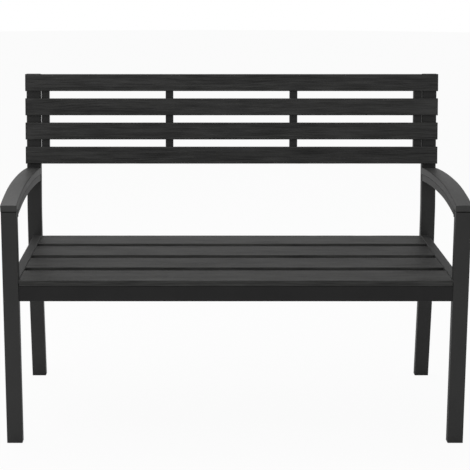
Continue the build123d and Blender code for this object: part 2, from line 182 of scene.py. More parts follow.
class ArmSettings(PropertyGroup):
    """The arch of the arms and the section of their pads."""
    front_drop: FloatProperty(
        name="Front drop", description="Fall of the arch from its peak to the front leg's front face",
        unit="LENGTH", min=0.001, max=0.2, default=0.0211)
    rear_drop: FloatProperty(
        name="Rear drop", description="Fall of the arch from its peak to the rear leg below its lean",
        unit="LENGTH", min=0.001, max=0.2, default=0.0161)
    front_run: FloatProperty(
        name="Front run", description="Distance of the peak behind the front leg's front face",
        unit="LENGTH", min=0.01, max=1, default=0.2080)
    thickness: FloatProperty(
        name="Pad thickness", description="Height of a pad's section",
        unit="LENGTH", min=0.004, max=0.05, default=0.0185)
    tube: FloatProperty(
        name="Tube height", description="Height of the arm tube's section, under the pad",
        unit="LENGTH", min=0.004, max=0.06, default=0.020)
    corner: FloatProperty(
        name="Pad corner", description="Radius of a pad's long edges",
        unit="LENGTH", min=0.001, max=0.008, default=0.0018)
    nose: FloatProperty(
        name="Pad nose", description="Radius of the rounding at a pad's front end",
        unit="LENGTH", min=0.0005, max=0.008, default=0.0010)
    crown: FloatProperty(
        name="Pad crown", description="Fall of a pad's top from its middle line to its edges",
        unit="LENGTH", min=0, max=0.004, default=0.0005)


class WeldSettings(PropertyGroup):
    """Beads where tubes are welded to each other, under the coat."""
    radius: FloatProperty(
        name="Bead radius", description="Half the width of a bead",
        unit="LENGTH", min=0.0005, max=0.006, default=0.0014)
    ripple: FloatProperty(
        name="Bead ripple", description="Length of one ripple along a bead",
        unit="LENGTH", min=0.0005, max=0.01, default=0.0026)
    stitch_share: FloatProperty(
        name="Stitch share",
        description="Share of a back slat's height that a bead beside an upright covers",
        subtype="FACTOR", min=0.1, max=1, default=0.6)


class StageSettings(PropertyGroup):
    """Camera, lamps and floor."""
    distance: FloatProperty(
        name="Distance", description="Camera in front of the front legs",
        unit="LENGTH", min=0.5, max=20, default=3.1343)
    height: FloatProperty(
        name="Height", description="Camera above the ground",
        unit="LENGTH", min=0, max=5, default=1.2997)
    offset: FloatProperty(
        name="Offset", description="Camera to the right of the bench's middle",
        unit="LENGTH", min=-3, max=3, default=-0.0907)
    pitch: FloatProperty(
        name="Pitch", description="Downward tilt of the camera",
        subtype="ANGLE", min=0, max=1.5, default=0.1827)
    lens: FloatProperty(
        name="Lens", description="Focal length in millimetres, for the sensor's width of 36 mm",
        min=10, max=300, default=98.20)
    shift_across: FloatProperty(
        name="Shift across", description="Lens shift to the right, as a share of the picture",
        min=-1, max=1, default=0.0745)
    shift_up: FloatProperty(
        name="Shift up", description="Lens shift upwards, as a share of the picture",
        min=-1, max=1, default=-0.14)
    top_power: FloatProperty(
        name="Top lamp", description="Power of the soft lamp above the bench",
        unit="POWER", min=0, max=2000, default=36)
    top_size: FloatProperty(
        name="Top lamp size", description="Side of the square lamp above",
        unit="LENGTH", min=0.1, max=20, default=3.2)
    top_place: FloatVectorProperty(
        name="Top lamp place", description="Middle of the lamp above",
        subtype="TRANSLATION", size=3, default=(-0.5, 0.25, 2.6))
    side_power: FloatProperty(
        name="Side lamp", description="Power of the soft lamp to the left of the bench",
        unit="POWER", min=0, max=2000, default=7)
    side_size: FloatProperty(
        name="Side lamp size", description="Side of the square lamp on the left",
        unit="LENGTH", min=0.1, max=20, default=1.8)
    side_place: FloatVectorProperty(
        name="Side lamp place", description="Middle of the lamp on the left",
        subtype="TRANSLATION", size=3, default=(-2.6, -1.4, 1.9))
    lamp_target: FloatVectorProperty(
        name="Lamp target", description="Point that both lamps face",
        subtype="TRANSLATION", size=3, default=(0, 0, 0.5))
    sky: FloatProperty(
        name="Sky", description="Strength of the even light from all round",
        min=0, max=4, default=0.45)
    gleam: FloatProperty(
        name="Gleam", description="Strength of the surroundings as glossy surfaces show them",
        min=0, max=4, default=0.50)
    floor_radius: FloatProperty(
        name="Floor radius", description="Radius of the round floor",
        unit="LENGTH", min=2, max=100, default=14)
    floor_white: FloatProperty(
        name="Floor white", description="Share of plain white in the floor as the camera sees it",
        subtype="FACTOR", min=0, max=1, default=0.94)
    floor_grey: FloatProperty(
        name="Floor grey", description="Share of light that the floor throws back",
        subtype="FACTOR", min=0, max=1, default=0.86)


class BenchSettings(PropertyGroup):
    """All the settings of the bench."""
    coat: PointerProperty(type=CoatSettings)
    grain: PointerProperty(type=GrainSettings)
    slats: PointerProperty(type=SlatSettings)
    arms: PointerProperty(type=ArmSettings)
    welds: PointerProperty(type=WeldSettings)
    stage: PointerProperty(type=StageSettings)


# Shader maths: an expression on values adds its Math nodes

class Field:
    """A number that varies over a surface, wrapped so that it can be added and multiplied."""

    def __init__(self, shader, socket):
        self.shader = shader
        self.socket = socket

    def math(self, operation, *values):
        return self.shader.value("ShaderNodeMath", {"operation": operation}, dict(enumerate(values)))

    def __add__(self, other):
        return self.math("ADD", self, other)

    def __radd__(self, other):
        return self.math("ADD", other, self)

    def __sub__(self, other):
        return self.math("SUBTRACT", self, other)

    def __rsub__(self, other):
        return self.math("SUBTRACT", other, self)

    def __mul__(self, other):
        return self.math("MULTIPLY", self, other)

    def __rmul__(self, other):
        return self.math("MULTIPLY", other, self)

    def clamped(self):
        """The value held between 0 and 1."""
        return self.shader.value("ShaderNodeClamp", {}, {"Value": self})


class Shader:
    """A node tree with one way to add any node."""

    def __init__(self, tree):
        self.tree = tree
        tree.nodes.clear()

    def add(self, kind, settings, inputs):
        """A node of a type, with its settings first and then the values or links of its sockets."""
        node = self.tree.nodes.new(kind)
        for key, value in settings.items():
            setattr(node, key, value)
        for key, value in inputs.items():
            socket = value.socket if isinstance(value, Field) else value
            if isinstance(socket, bpy.types.NodeSocket):
                self.tree.links.new(socket, node.inputs[key])
            else:
                node.inputs[key].default_value = socket
        return node

    def value(self, kind, settings, inputs, output=0):
        """The same, giving one output as a number to calculate with."""
        return Field(self, self.add(kind, settings, inputs).outputs[output])

    def place(self, scale):
        """Object coordinates, stretched by a scale on each axis."""
        here = self.add("ShaderNodeTexCoord", {}, {}).outputs["Object"]
        return self.add("ShaderNodeMapping", {}, {"Vector": here, "Scale": scale}).outputs["Vector"]

    def noise(self, size, detail=2.0, roughness=0.5, stretch=(1, 1, 1)):
        """Noise with features of a size in metres, from 0 to 1, stretched by shares on each axis."""
        scale = [1 / (size * share) for share in stretch]
        return self.value("ShaderNodeTexNoise", {}, {
            "Vector": self.place(scale), "Scale": 1.0, "Detail": detail, "Roughness": roughness})

    def upward(self):
        """The upward part of the surface's normal: 1 on a level top, 0 on a wall."""
        normal = self.add("ShaderNodeNewGeometry", {}, {}).outputs["Normal"]
        return self.value("ShaderNodeSeparateXYZ", {}, {"Vector": normal}, 2).clamped()

    def ray(self, kind):
        """1 for rays of a kind and 0 for all others."""
        return self.value("ShaderNodeLightPath", {}, {}, kind)

    def blend(self, factor, low, high):
        """A colour that goes from low to high with a factor."""
        node = self.add("ShaderNodeMix", {"data_type": "RGBA"}, {0: factor, 6: low, 7: high})
        return node.outputs[2]

    def bump(self, height, distance):
        """Normals bent by a height that a full step of the field raises by distance."""
        bent = self.add("ShaderNodeBump", {}, {"Height": height, "Distance": distance, "Strength": 1.0})
        return bent.outputs["Normal"]


def opaque(colour, factor=1.0):
    """A colour times a factor, with full alpha."""
    return [channel * factor for channel in colour] + [1.0]


def surface_material(name, build):
    """A material whose shader is filled in by build, which returns the inputs of its surface."""
    material = bpy.data.materials.new(name)
    material.use_nodes = True
    shader = Shader(material.node_tree)
    surface = shader.add("ShaderNodeBsdfPrincipled", {}, build(shader))
    shader.add("ShaderNodeOutputMaterial", {}, {"Surface": surface.outputs[0]})
    return material


# Materials

def powder_coat(name, colour, shine, settings):
    """Satin powder coat: orange peel, a finer grit, slow clouds of tone, and dust on level tops."""
    cloud_size, dust_size, grit_parts = 0.09, 0.02, 5
    cloud_tone, dust_tone, grit_tone = 0.62, 0.30, 0.12
    cloud_rough, dust_rough = 0.10, 0.08
    grit_height, dark, light = 0.18, 0.72, 1.55

    def build(shader):
        cloud = shader.noise(cloud_size, detail=3.0)
        peel = shader.noise(settings.peel_size, detail=1.0)
        grit = shader.noise(settings.peel_size / grit_parts, detail=1.0)
        dust = shader.upward() * shader.noise(dust_size, detail=4.0, roughness=0.65)
        tone = (cloud_tone * cloud + dust_tone * dust + grit_tone * grit).clamped()
        plain = settings.coat_roughness - cloud_rough / 2
        return {
            "Base Color": shader.blend(tone, opaque(colour, dark), opaque(colour, light)),
            "Roughness": plain + cloud_rough * cloud + dust_rough * dust,
            "Specular IOR Level": shine,
            "Normal": shader.bump(peel + grit_height * grit, settings.peel_depth),
        }
    return surface_material(name, build)


def grained_coat(name, colour, settings, grain):
    """Powder coat over rolled wood grain: pores and fibres along X between the modelled grain lines,
    with painted sheen as streaks of tone along X, and grooves darkened partly by pooled coat and partly
    by painted shade.
    """
    fibre_size, streak_size, band_size = grain.pitch / 4, grain.pitch, grain.pitch * 3
    sheen_streak_tone, sheen_band_tone, sheen_fibre_tone, groove_pool_and_shade_tone, tone_start = 1.9, 1.2, 0.5, 0.45, 1.2
    band_rough, fibre_rough, groove_rough, rough_start = 0.10, 0.06, 0.08, 0.02
    pore_contrast, pore_start, pore_depth, peel_height = 3.0, 1.45, 0.00011, 0.35
    dark, light = 0.50, 1.60

    def build(shader):
        groove = shader.value("ShaderNodeAttribute", {"attribute_name": "groove"}, {}, "Fac")
        fibre = shader.noise(fibre_size, detail=3.0, roughness=0.6, stretch=(40, 1, 1))
        streak = shader.noise(streak_size, detail=3.0, roughness=0.6, stretch=(12, 1, 1))
        band = shader.noise(band_size, detail=2.0, roughness=0.5, stretch=(16, 1, 1))
        peel = shader.noise(settings.peel_size, detail=1.0)
        pore = (pore_contrast * fibre - pore_start).clamped()
        # Painted sheen: the streaks, bands and fibres of tone along X stand in for the light and dark
        # streaks that sheen draws on embossed grain.
        tone = sheen_streak_tone * streak + sheen_band_tone * band + sheen_fibre_tone * fibre
        # The grooves are darker in colour: partly coat that pools in them, partly painted shade in the
        # recesses.
        tone = (tone - tone_start - groove_pool_and_shade_tone * groove).clamped()
        plain = settings.coat_roughness - rough_start
        return {
            "Base Color": shader.blend(tone, opaque(colour, dark), opaque(colour, light)),
            "Roughness": plain + band_rough * band - fibre_rough * fibre + groove_rough * groove,
            "Specular IOR Level": settings.slat_shine,
            "Normal": shader.bump(pore + peel_height * peel, pore_depth),
        }
    return surface_material(name, build)


def pad_plastic(name, colour, settings):
    """Moulded plastic with a spark-eroded texture, clouds of gloss and faint streaks along the pad."""
    pits_per_metre, pit_depth, grit_size, grit_height = 1100.0, 0.00005, 0.0009, 0.5
    cloud_size, streak_size = 0.05, 0.0035
    sheen_streak_tone, cloud_tone, tone_start = 2.2, 0.8, 1.0
    plain, cloud_rough, dark, light = 0.40, 0.12, 0.75, 1.35

    def build(shader):
        pits = shader.value("ShaderNodeTexVoronoi", {"feature": "SMOOTH_F1"}, {
            "Vector": shader.place((1, 1, 1)), "Scale": pits_per_metre, "Smoothness": 0.6})
        cloud = shader.noise(cloud_size, detail=3.0)
        grit = shader.noise(grit_size, detail=2.0)
        streak = shader.noise(streak_size, detail=3.0, roughness=0.6, stretch=(1, 14, 1))
        tone = (sheen_streak_tone * streak + cloud_tone * cloud - tone_start).clamped()
        return {
            "Base Color": shader.blend(tone, opaque(colour, dark), opaque(colour, light)),
            "Roughness": plain + cloud_rough * cloud,
            "Specular IOR Level": settings.pad_shine,
            "Normal": shader.bump(pits + grit_height * grit, pit_depth),
        }
    return surface_material(name, build)


def plug_plastic(name, colour):
    """Injection-moulded polyethylene, with faint flow marks and scuffs near the ground."""
    flow_size, scuff_size, grit_size, grit_depth = 0.012, 0.004, 0.0011, 0.00004
    scuff_height, scuff_contrast, scuff_start = 0.025, 2.4, 0.9
    plain, flow_tone, flow_rough, scuff_rough = 0.50, 0.4, 0.10, 0.2
    dark, light = 0.8, 3.2

    def build(shader):
        here = shader.add("ShaderNodeTexCoord", {}, {}).outputs["Object"]
        height = shader.value("ShaderNodeSeparateXYZ", {}, {"Vector": here}, 2)
        low = (1.0 - height * (1 / scuff_height)).clamped()
        flow = shader.noise(flow_size, detail=3.0, roughness=0.6, stretch=(1, 1, 3))
        worn = shader.noise(scuff_size, detail=4.0, roughness=0.7)
        scuff = low * (scuff_contrast * worn - scuff_start).clamped()
        tone = (flow_tone * flow + scuff).clamped()
        return {
            "Base Color": shader.blend(tone, opaque(colour, dark), opaque(colour, light)),
            "Roughness": plain + flow_rough * flow + scuff_rough * scuff,
            "Normal": shader.bump(shader.noise(grit_size, detail=2.0), grit_depth),
        }
    return surface_material(name, build)


def plated_steel(name, colour, roughness):
    """Zinc-plated steel: a metal whose plating is slightly clouded, over a faint grit."""
    cloud_size, grit_size, grit_depth = 0.003, 0.0006, 0.00001
    rough_start, cloud_rough, dark, light = 0.06, 0.16, 0.75, 1.2

    def build(shader):
        cloud = shader.noise(cloud_size, detail=4.0, roughness=0.6)
        return {
            "Base Color": shader.blend(cloud, opaque(colour, dark), opaque(colour, light)),
            "Metallic": 1.0,
            "Roughness": roughness - rough_start + cloud_rough * cloud,
            "Normal": shader.bump(shader.noise(grit_size, detail=2.0), grit_depth),
        }
    return surface_material(name, build)


def make_finish(bench, slot_name):
    """Build the material of one finish of the record."""
    coat, grain = bench.coat, bench.grain
    makers = {
        "frame_coat": (powder_coat, coat.frame_colour, coat.frame_shine, coat),
        "seat_slat_coat": (grained_coat, coat.seat_colour, coat, grain),
        "back_slat_coat": (grained_coat, coat.back_colour, coat, grain),
        "arm_pad_plastic": (pad_plastic, coat.pad_colour, coat),
        "plug_plastic": (plug_plastic, coat.plug_colour),
        "bolt_steel": (plated_steel, coat.bolt_colour, coat.bolt_roughness),
        "screw_steel": (plated_steel, coat.bolt_colour, coat.screw_roughness),
        "rivet_nut_steel": (plated_steel, coat.nut_colour, coat.nut_roughness),
    }
    maker, *values = makers[slot_name]
    return maker(slot_name + "_finish", *values)


def finish_material(bench, slot_name):
    """The material of a finish, built when it is first asked for."""
    made = bpy.data.materials.get(slot_name + "_finish")
    return made or make_finish(bench, slot_name)


def coat_nodes(bench, wanted):
    """Give CAD nodes the material of their slot in the record; wanted says which slots."""
    for entry in frame["record"]["subparts"]:
        if entry["material_slot"] in wanted:
            dress(entry["node"], finish_material(bench, entry["material_slot"]))


def dress(node, material):
    """Put a material on a CAD node."""
    for slot in nodes[node].material_slots:
        slot.material = material


def store_groove(piece, depth, deepest):
    """Keep the depth of the grain at each corner of a piece as an attribute from 0 to 1."""
    layer = piece.data.attributes.new("groove", "FLOAT", "POINT")
    layer.data.foreach_set("value", np.clip(-depth / deepest, 0, 1).astype(np.float32).ravel())


# Surfaces

def smooth_noise(across, along, seed):
    """Value noise from -1 to 1.

    Random heights stand on a square lattice of unit step that repeats, and a place in a cell takes
    the four corners' heights, weighted by the smoothstep 3t^2 - 2t^3 of its distance from them.
    """
    size = 64
    lattice = np.random.default_rng(seed).random((size, size))
    i, j = np.floor(across).astype(int), np.floor(along).astype(int)
    s, t = across - i, along - j
    s, t = s * s * (3 - 2 * s), t * t * (3 - 2 * t)
    i, j, i1, j1 = i % size, j % size, (i + 1) % size, (j + 1) % size
    near = lattice[i, j] * (1 - s) + lattice[i1, j] * s
    far = lattice[i, j1] * (1 - s) + lattice[i1, j1] * s
    return 2 * (near * (1 - t) + far * t) - 1


def grain_relief(across, along, grain, seed):
    """Depth of rolled wood grain, zero or below, for places in metres across and along a slat.

    Lines run along the slat at an even pitch, and noise that is long along the slat moves them
    sideways by up to about a pitch and a half. Each line is a groove with the profile
    exp(-sin^2 / spread), and slower noise makes it deep here and faint there.
    """
    wide, narrow, middling = 5 * grain.pitch, 2 * grain.pitch, 3 * grain.pitch
    short, half = grain.length / 4, grain.length / 2
    drift = grain.wander * smooth_noise(across / wide, along / grain.length, seed)
    drift += grain.flutter * smooth_noise(across / narrow, along / short, seed + 1)
    wave = np.sin(pi * (across / grain.pitch + drift))
    groove = np.exp(-wave * wave / grain.spread)
    faint = 1 - grain.fade + grain.fade * smooth_noise(across / middling, along / half, seed + 2)
    return -grain.depth * groove * faint


def rounded_outline(width, height, corner, step, corner_steps=4):
    """A rounded rectangle about the origin as a closed loop of points, and its outward normals.

    It starts where the bottom side meets the right-hand corner and runs counter-clockwise. A flat
    stretch is divided evenly by about one step, and a corner is a quarter circle.
    """
    half_w, half_h = width / 2 - corner, height / 2 - corner
    corners = ((half_w, -half_h, -pi / 2), (half_w, half_h, 0), (-half_w, half_h, pi / 2),
               (-half_w, -half_h, pi))
    turn = np.linspace(0, pi / 2, corner_steps + 1)
    angle = np.concatenate([start + turn for _, _, start in corners])
    centre = np.repeat([(x, y) for x, y, _ in corners], len(turn), axis=0)
    normals = np.stack((np.cos(angle), np.sin(angle)), 1)
    points = centre + corner * normals
    points = np.vstack((points, points[:1]))
    normals = np.vstack((normals, normals[:1]))
    return divided(points, normals, step)


def divided(points, normals, step):
    """Put points on the long sides of a loop, about a step apart, by straight interpolation."""
    lengths = np.linalg.norm(np.diff(points, axis=0), axis=1)
    counts = np.maximum(1, np.round(lengths / step)).astype(int)
    owner = np.repeat(np.arange(len(counts)), counts)
    share = np.concatenate([np.arange(count) / count for count in counts])[:, None]
    between = points[owner] * (1 - share) + points[owner + 1] * share
    outward = normals[owner] * (1 - share) + normals[owner + 1] * share
    return between, outward / np.linalg.norm(outward, axis=1)[:, None]


def loop_distance(points):
    """Distance travelled round a closed loop up to each of its points, and the whole length."""
    steps = np.linalg.norm(np.roll(points, -1, axis=0) - points, axis=1)
    return np.concatenate(([0], np.cumsum(steps)[:-1])), steps.sum()


def enclosed_volume(corners, faces):
    """Volume inside quads, as the sum of the tetrahedra from the origin to their two triangles."""
    a, b, c, d = (corners[faces[:, k]] for k in range(4))
    return ((a * np.cross(b, c)).sum() + (a * np.cross(c, d)).sum()) / 6


def tube_faces(stations, around, first=0):
    """Quads between neighbouring rings of a tube whose corners are numbered ring by ring."""
    ring, place = np.meshgrid(np.arange(stations - 1), np.arange(around), indexing="ij")
    after = (place + 1) % around
    quads = np.stack((ring * around + place, ring * around + after,
                      (ring + 1) * around + after, (ring + 1) * around + place), -1)
    return first + quads.reshape(-1, 4)


def mesh_object(bench, name, corners, quads, lids, slot_name, replaced=()):
    """A mesh of quads and many-sided lids, facing outwards, that rides on the bench."""
    if enclosed_volume(corners - corners.mean(0), quads) < 0:
        quads = quads[:, ::-1]
        lids = [lid[::-1] for lid in lids]
    mesh = bpy.data.meshes.new(name)
    mesh.from_pydata(corners.tolist(), [], quads.tolist() + [list(map(int, lid)) for lid in lids])
    mesh.polygons.foreach_set("use_smooth", np.ones(len(mesh.polygons), bool))
    mesh.set_sharp_from_angle(angle=SHARP_ANGLE)
    mesh.materials.append(finish_material(bench, slot_name))
    mesh.validate()
    piece = bpy.data.objects.new(name, mesh)
    bpy.context.scene.collection.objects.link(piece)
    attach(piece, "root")
    if replaced:
        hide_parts(*replaced)
    return piece


def rings_object(bench, name, rings, slot_name, replaced):
    """A closed tube through an array of rings, with a flat lid on each end."""
    stations, around = rings.shape[:2]
    lids = [np.arange(around)[::-1], (stations - 1) * around + np.arange(around)]
    return mesh_object(bench, name, rings.reshape(-1, 3), tube_faces(stations, around), lids,
                       slot_name, replaced)


def stations_between(low, high, step):
    """Evenly spaced places from low to high, about a step apart."""
    return np.linspace(low, high, int(round((high - low) / step)) + 1)


# Back slats

def back_lean():
    """Angle of the back from upright, from the middles of its top and bottom slats."""
    low, high = middle_of("back_slat_4"), middle_of("back_slat_1")
    return atan2(high[1] - low[1], high[2] - low[2])


def middle_of(node):
    """Middle of a node's box."""
    low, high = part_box(node)
    return np.array((low + high) / 2)


def leaning_size(node, lean):
    """Height and depth of a slab that leans, from the height and depth of the box round it.

    The box is h cos + d sin high and h sin + d cos deep, which is solved for h and d.
    """
    low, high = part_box(node)
    box = np.array((high.z - low.z, high.y - low.y))
    turn = np.array(((cos(lean), sin(lean)), (sin(lean), cos(lean))))
    return np.linalg.solve(turn, box)


def back_slat(bench, index):
    """A flat tube with rounded corners along X, leaned back, with wood grain pressed into it.

    Each point of the section moves in along its normal by the grain's depth there, which fades
    out where the outline starts. The section is then turned by the lean.
    """
    node = "back_slat_" + str(index)
    lean = back_lean()
    height, depth = leaning_size(node, lean)
    low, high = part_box(node)
    outline, normals = rounded_outline(depth, height, bench.slats.back_corner, bench.grain.step_across)
    travelled, whole = loop_distance(outline)
    along = stations_between(low.x, high.x, bench.grain.step_along)
    seam = np.minimum(travelled, whole - travelled) / bench.grain.pitch
    relief = grain_relief(travelled[None, :], along[:, None], bench.grain, BACK_SEEDS[index - 1])
    relief = relief * np.clip(seam, 0, 1)[None, :]
    section = outline[None] + normals[None] * relief[..., None]
    out, up = section[..., 0], section[..., 1]
    middle = middle_of(node)
    rings = np.stack((
        np.broadcast_to(along[:, None], out.shape),
        middle[1] + up * sin(lean) + out * cos(lean),
        middle[2] + up * cos(lean) - out * sin(lean)), -1)
    piece = rings_object(bench, node + "_embossed", rings, "back_slat_coat", (node,))
    store_groove(piece, relief, bench.grain.depth)


# Seat slats

def channel_outline(width, height, sheet, corner, lip, step, inner_every=6):
    """Section of a folded slat as one closed loop: round the outside and back along the inside.

    The outer part is a rounded rectangle with a gap in the bottom, and the inner part is the same
    outline moved in by the sheet's thickness, with one point for every few of the outer part's
    where it is flat. Returns the points, their normals, which are zero on the inner part, and the
    distance travelled along the outer part.
    """
    outer, normals = rounded_outline(width, height, corner, step)
    kept = (np.abs(outer[:, 0]) >= width / 2 - lip) | (outer[:, 1] >= 0)
    outer, normals = outer[kept], normals[kept]
    start = int(np.argmax(np.linalg.norm(outer - np.roll(outer, 1, axis=0), axis=1)))
    outer, normals = np.roll(outer, -start, axis=0), np.roll(normals, -start, axis=0)
    near_corner = np.abs(np.abs(outer[:, 0]) - (width / 2 - corner / 2)) < corner
    few = np.unique(np.concatenate((
        np.arange(0, len(outer), inner_every), np.flatnonzero(near_corner), [len(outer) - 1])))
    inner = outer[few] - sheet * normals[few]
    travelled = np.concatenate(([0], np.cumsum(np.linalg.norm(np.diff(outer, axis=0), axis=1))))
    points = np.vstack((outer, inner[::-1]))
    pressed = np.vstack((normals, np.zeros_like(inner)))
    distance = np.concatenate((travelled, np.zeros(len(inner))))
    return points, pressed, distance


def seat_slat(bench, index):
    """A folded sheet slat along X, open below, with wood grain pressed into its outside.

    Each point outside moves in along its normal by the grain's depth there, and the top sinks
    towards its middle line by the crown times 1 - (2 across / width)^2.
    """
    node = "seat_slat_" + str(index)
    low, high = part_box(node)
    slats, grain = bench.slats, bench.grain
    width, height = high.y - low.y, high.z - low.z
    points, pressed, travelled = channel_outline(
        width, height, slats.seat_sheet, slats.seat_corner, slats.seat_lip, grain.step_across)
    along = stations_between(low.x, high.x, grain.step_along)
    relief = grain_relief(travelled[None, :], along[:, None], grain, SEAT_SEEDS[index - 1])
    section = points[None] + pressed[None] * relief[..., None]
    dip = np.clip(1 - (section[..., 0] / (width / 2)) ** 2, 0, 1) * (section[..., 1] > 0)
    rings = np.stack((
        np.broadcast_to(along[:, None], relief.shape),
        (low.y + high.y) / 2 + section[..., 0],
        (low.z + high.z) / 2 + section[..., 1] - slats.seat_crown * dip), -1)
    piece = rings_object(bench, node + "_embossed", rings, "seat_slat_coat", (node,))
    store_groove(piece, relief, grain.depth)


# Arm pads

def arch(bench, reach, under=0.0):
    """Fall from the arms' peak, and lean, of a line parallel to the arch and a way under it.

    The arch is two circular arcs that are level where they meet, at the peak. An arc that falls
    by d over a run r has the radius (r^2 + d^2) / 2d. The line has that radius less the way
    under it, and at a distance from the peak it leans by asin(distance / its radius).
    """
    arms = bench.arms
    rear_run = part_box("side_rail_right")[1].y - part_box("front_leg_right")[0].y - arms.front_run
    front_radius = (arms.front_run ** 2 + arms.front_drop ** 2) / (2 * arms.front_drop)
    rear_radius = (rear_run ** 2 + arms.rear_drop ** 2) / (2 * arms.rear_drop)
    radius = np.where(reach < arms.front_run, front_radius, rear_radius)
    lean = np.arcsin((reach - arms.front_run) / (radius - under))
    return radius - (radius - under) * np.cos(lean), lean


def arm_pad(bench, side):
    """A pad with a crowned top, carried along the arch, its front end rounded like a nose.

    The section is a rounded rectangle whose top falls away from its middle line as a parabola.
    Over the nose the section shrinks as a quarter circle, sqrt(1 - t^2), on all sides.
    """
    arms = bench.arms
    step_across, step_along, corner_steps, nose_steps = 0.0016, 0.004, 6, 6
    node = "arm_pad_" + side
    low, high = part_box(node)
    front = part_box("front_leg_" + side)[0].y
    width = high.x - low.x
    outline, _ = rounded_outline(width, arms.thickness, arms.corner, step_across, corner_steps)
    crown = np.clip(outline[:, 1] / (arms.thickness / 2), 0, 1) * (2 * outline[:, 0] / width) ** 2
    outline = outline - np.stack((np.zeros(len(outline)), arms.crown * crown), 1)
    post_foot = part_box("side_rail_" + side)[1].y
    turn = np.linspace(0, pi / 2, nose_steps + 1)[:-1]
    straight = stations_between(low.y - front + arms.nose, post_foot - front, step_along)
    reach = np.concatenate((low.y - front + arms.nose * (1 - np.cos(turn)), straight))
    shrink = np.concatenate((arms.nose * (1 - np.sin(turn)), np.zeros(len(straight))))
    fall, lean = arch(bench, reach)
    size = np.array((width / 2, arms.thickness / 2))
    scale = 1 - shrink[:, None] / size[None]
    across = outline[None, :, 0] * scale[:, None, 0]
    above = outline[None, :, 1] * scale[:, None, 1] - arms.thickness / 2
    y = front + reach[:, None] + above * np.sin(lean)[:, None]
    z = high.z - fall[:, None] + above * np.cos(lean)[:, None]
    x = np.broadcast_to((low.x + high.x) / 2 + across, y.shape)
    rings = np.stack((x, y, z), -1)
    rings = np.concatenate((rings, onto_post(rings[-1], lean[-1])[None]), 0)
    rings_object(bench, node + "_moulded", rings, "arm_pad_plastic", (node,))


def onto_post(points, arm_lean):
    """Points near an arm's rear end, moved along the arm until they lie on the rear leg's face.

    The distance is the one at which (point + distance * direction - face) has no part along the
    face's normal.
    """
    lean = back_lean()
    depth = leaning_size("back_slat_4", lean)[1]
    outward = np.array((0, -cos(lean), sin(lean)))
    face = middle_of("back_slat_4") - outward * depth / 2
    direction = np.array((0, cos(arm_lean), -sin(arm_lean)))
    distance = ((face - points) @ outward) / (direction @ outward)
    return points + distance[:, None] * direction


# Weld beads

def bead(bench, path):
    """A rippled bead along points: a round section whose radius swells with |sin| along the path.

    Returns the rings of one bead. Its ends are drawn in as quarter circles, down to a small tip.
    """
    welds = bench.welds
    steps_per_ripple, sides, swell, tip = 4, 8, 0.18, 0.02
    steps = np.linalg.norm(np.diff(path, axis=0), axis=1)
    travelled = np.concatenate(([0], np.cumsum(steps)))
    places = stations_between(0, travelled[-1], welds.ripple / steps_per_ripple)
    line = np.stack([np.interp(places, travelled, path[:, axis]) for axis in range(3)], 1)
    tangent = np.gradient(line, axis=0)
    tangent /= np.linalg.norm(tangent, axis=1)[:, None]
    mostly_x = np.abs(tangent[:, :1]) > 0.9
    helper = np.where(mostly_x, np.array([[0, 0, 1.0]]), np.array([[1.0, 0, 0]]))
    side = np.cross(tangent, helper)
    side /= np.linalg.norm(side, axis=1)[:, None]
    up = np.cross(side, tangent)
    from_end = np.minimum(places, places[-1] - places) / welds.radius
    ends = np.sqrt(1 - (1 - np.clip(from_end, tip, 1)) ** 2)
    ripples = np.abs(np.sin(pi * places / welds.ripple))
    radius = welds.radius * ends * (1 - swell + swell * ripples)
    angle = np.linspace(0, 2 * pi, sides + 1)[:-1]
    ring = side[:, None] * np.cos(angle)[None, :, None] + up[:, None] * np.sin(angle)[None, :, None]
    return line[:, None] + radius[:, None, None] * ring


def bead_group(bench, name, paths):
    """Many beads in one piece."""
    corners, quads, lids, count = [], [], [], 0
    for path in paths:
        rings = bead(bench, np.array(path, float))
        stations, around = rings.shape[:2]
        corners.append(rings.reshape(-1, 3))
        quads.append(tube_faces(stations, around, count))
        lids.append(count + np.arange(around)[::-1])
        lids.append(count + (stations - 1) * around + np.arange(around))
        count += stations * around
    mesh_object(bench, name, np.vstack(corners), np.vstack(quads), lids, "frame_coat")


def rail_weld_paths(side):
    """Under, outside and over both ends of a side rail, in the planes of the legs' faces."""
    low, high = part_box("side_rail_" + side)
    leg_low, leg_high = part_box("front_leg_" + side)
    x0, x1 = max(low.x, leg_low.x), min(high.x, leg_high.x)
    inner, outer = (x0, x1) if side == "right" else (x1, x0)
    return [[(inner, y, low.z), (outer, y, low.z), (outer, y, high.z), (inner, y, high.z)]
            for y in (low.y, high.y)]


def arm_weld_paths(bench, side):
    """Down both sides and along the underside of an arm tube, where it meets each leg."""
    low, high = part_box("arm_tube_" + side)
    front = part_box("front_leg_" + side)[0].y
    pad_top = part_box("arm_pad_" + side)[1].z
    post_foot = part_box("side_rail_" + side)[1].y
    paths = []
    for y in (low.y, post_foot):
        reach = np.array((y - front,))
        upper, lean = arch(bench, reach, bench.arms.thickness)
        lower, _ = arch(bench, reach, bench.arms.thickness + bench.arms.tube)
        top, bottom = pad_top - float(upper[0]), pad_top - float(lower[0])
        joint = np.array(((low.x, y, top), (low.x, y, bottom), (high.x, y, bottom), (high.x, y, top)))
        paths.append(joint if y < post_foot else onto_post(joint, float(lean[0])))
    return paths


def upright_weld_paths(bench):
    """Short beads on both sides of each upright, behind every slat."""
    lean = back_lean()
    outward = np.array((0, -cos(lean), sin(lean)))
    upward = np.array((0, sin(lean), cos(lean)))
    paths = []
    for upright in UPRIGHTS:
        low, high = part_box(upright)
        for index in SLATS:
            node = "back_slat_" + str(index)
            height, depth = leaning_size(node, lean)
            middle = middle_of(node) - outward * depth / 2
            for x in (low.x, high.x):
                centre = np.array((x, middle[1], middle[2]))
                half = upward * height * bench.welds.stitch_share / 2
                paths.append([centre - half, centre + half])
    return paths


# Operators

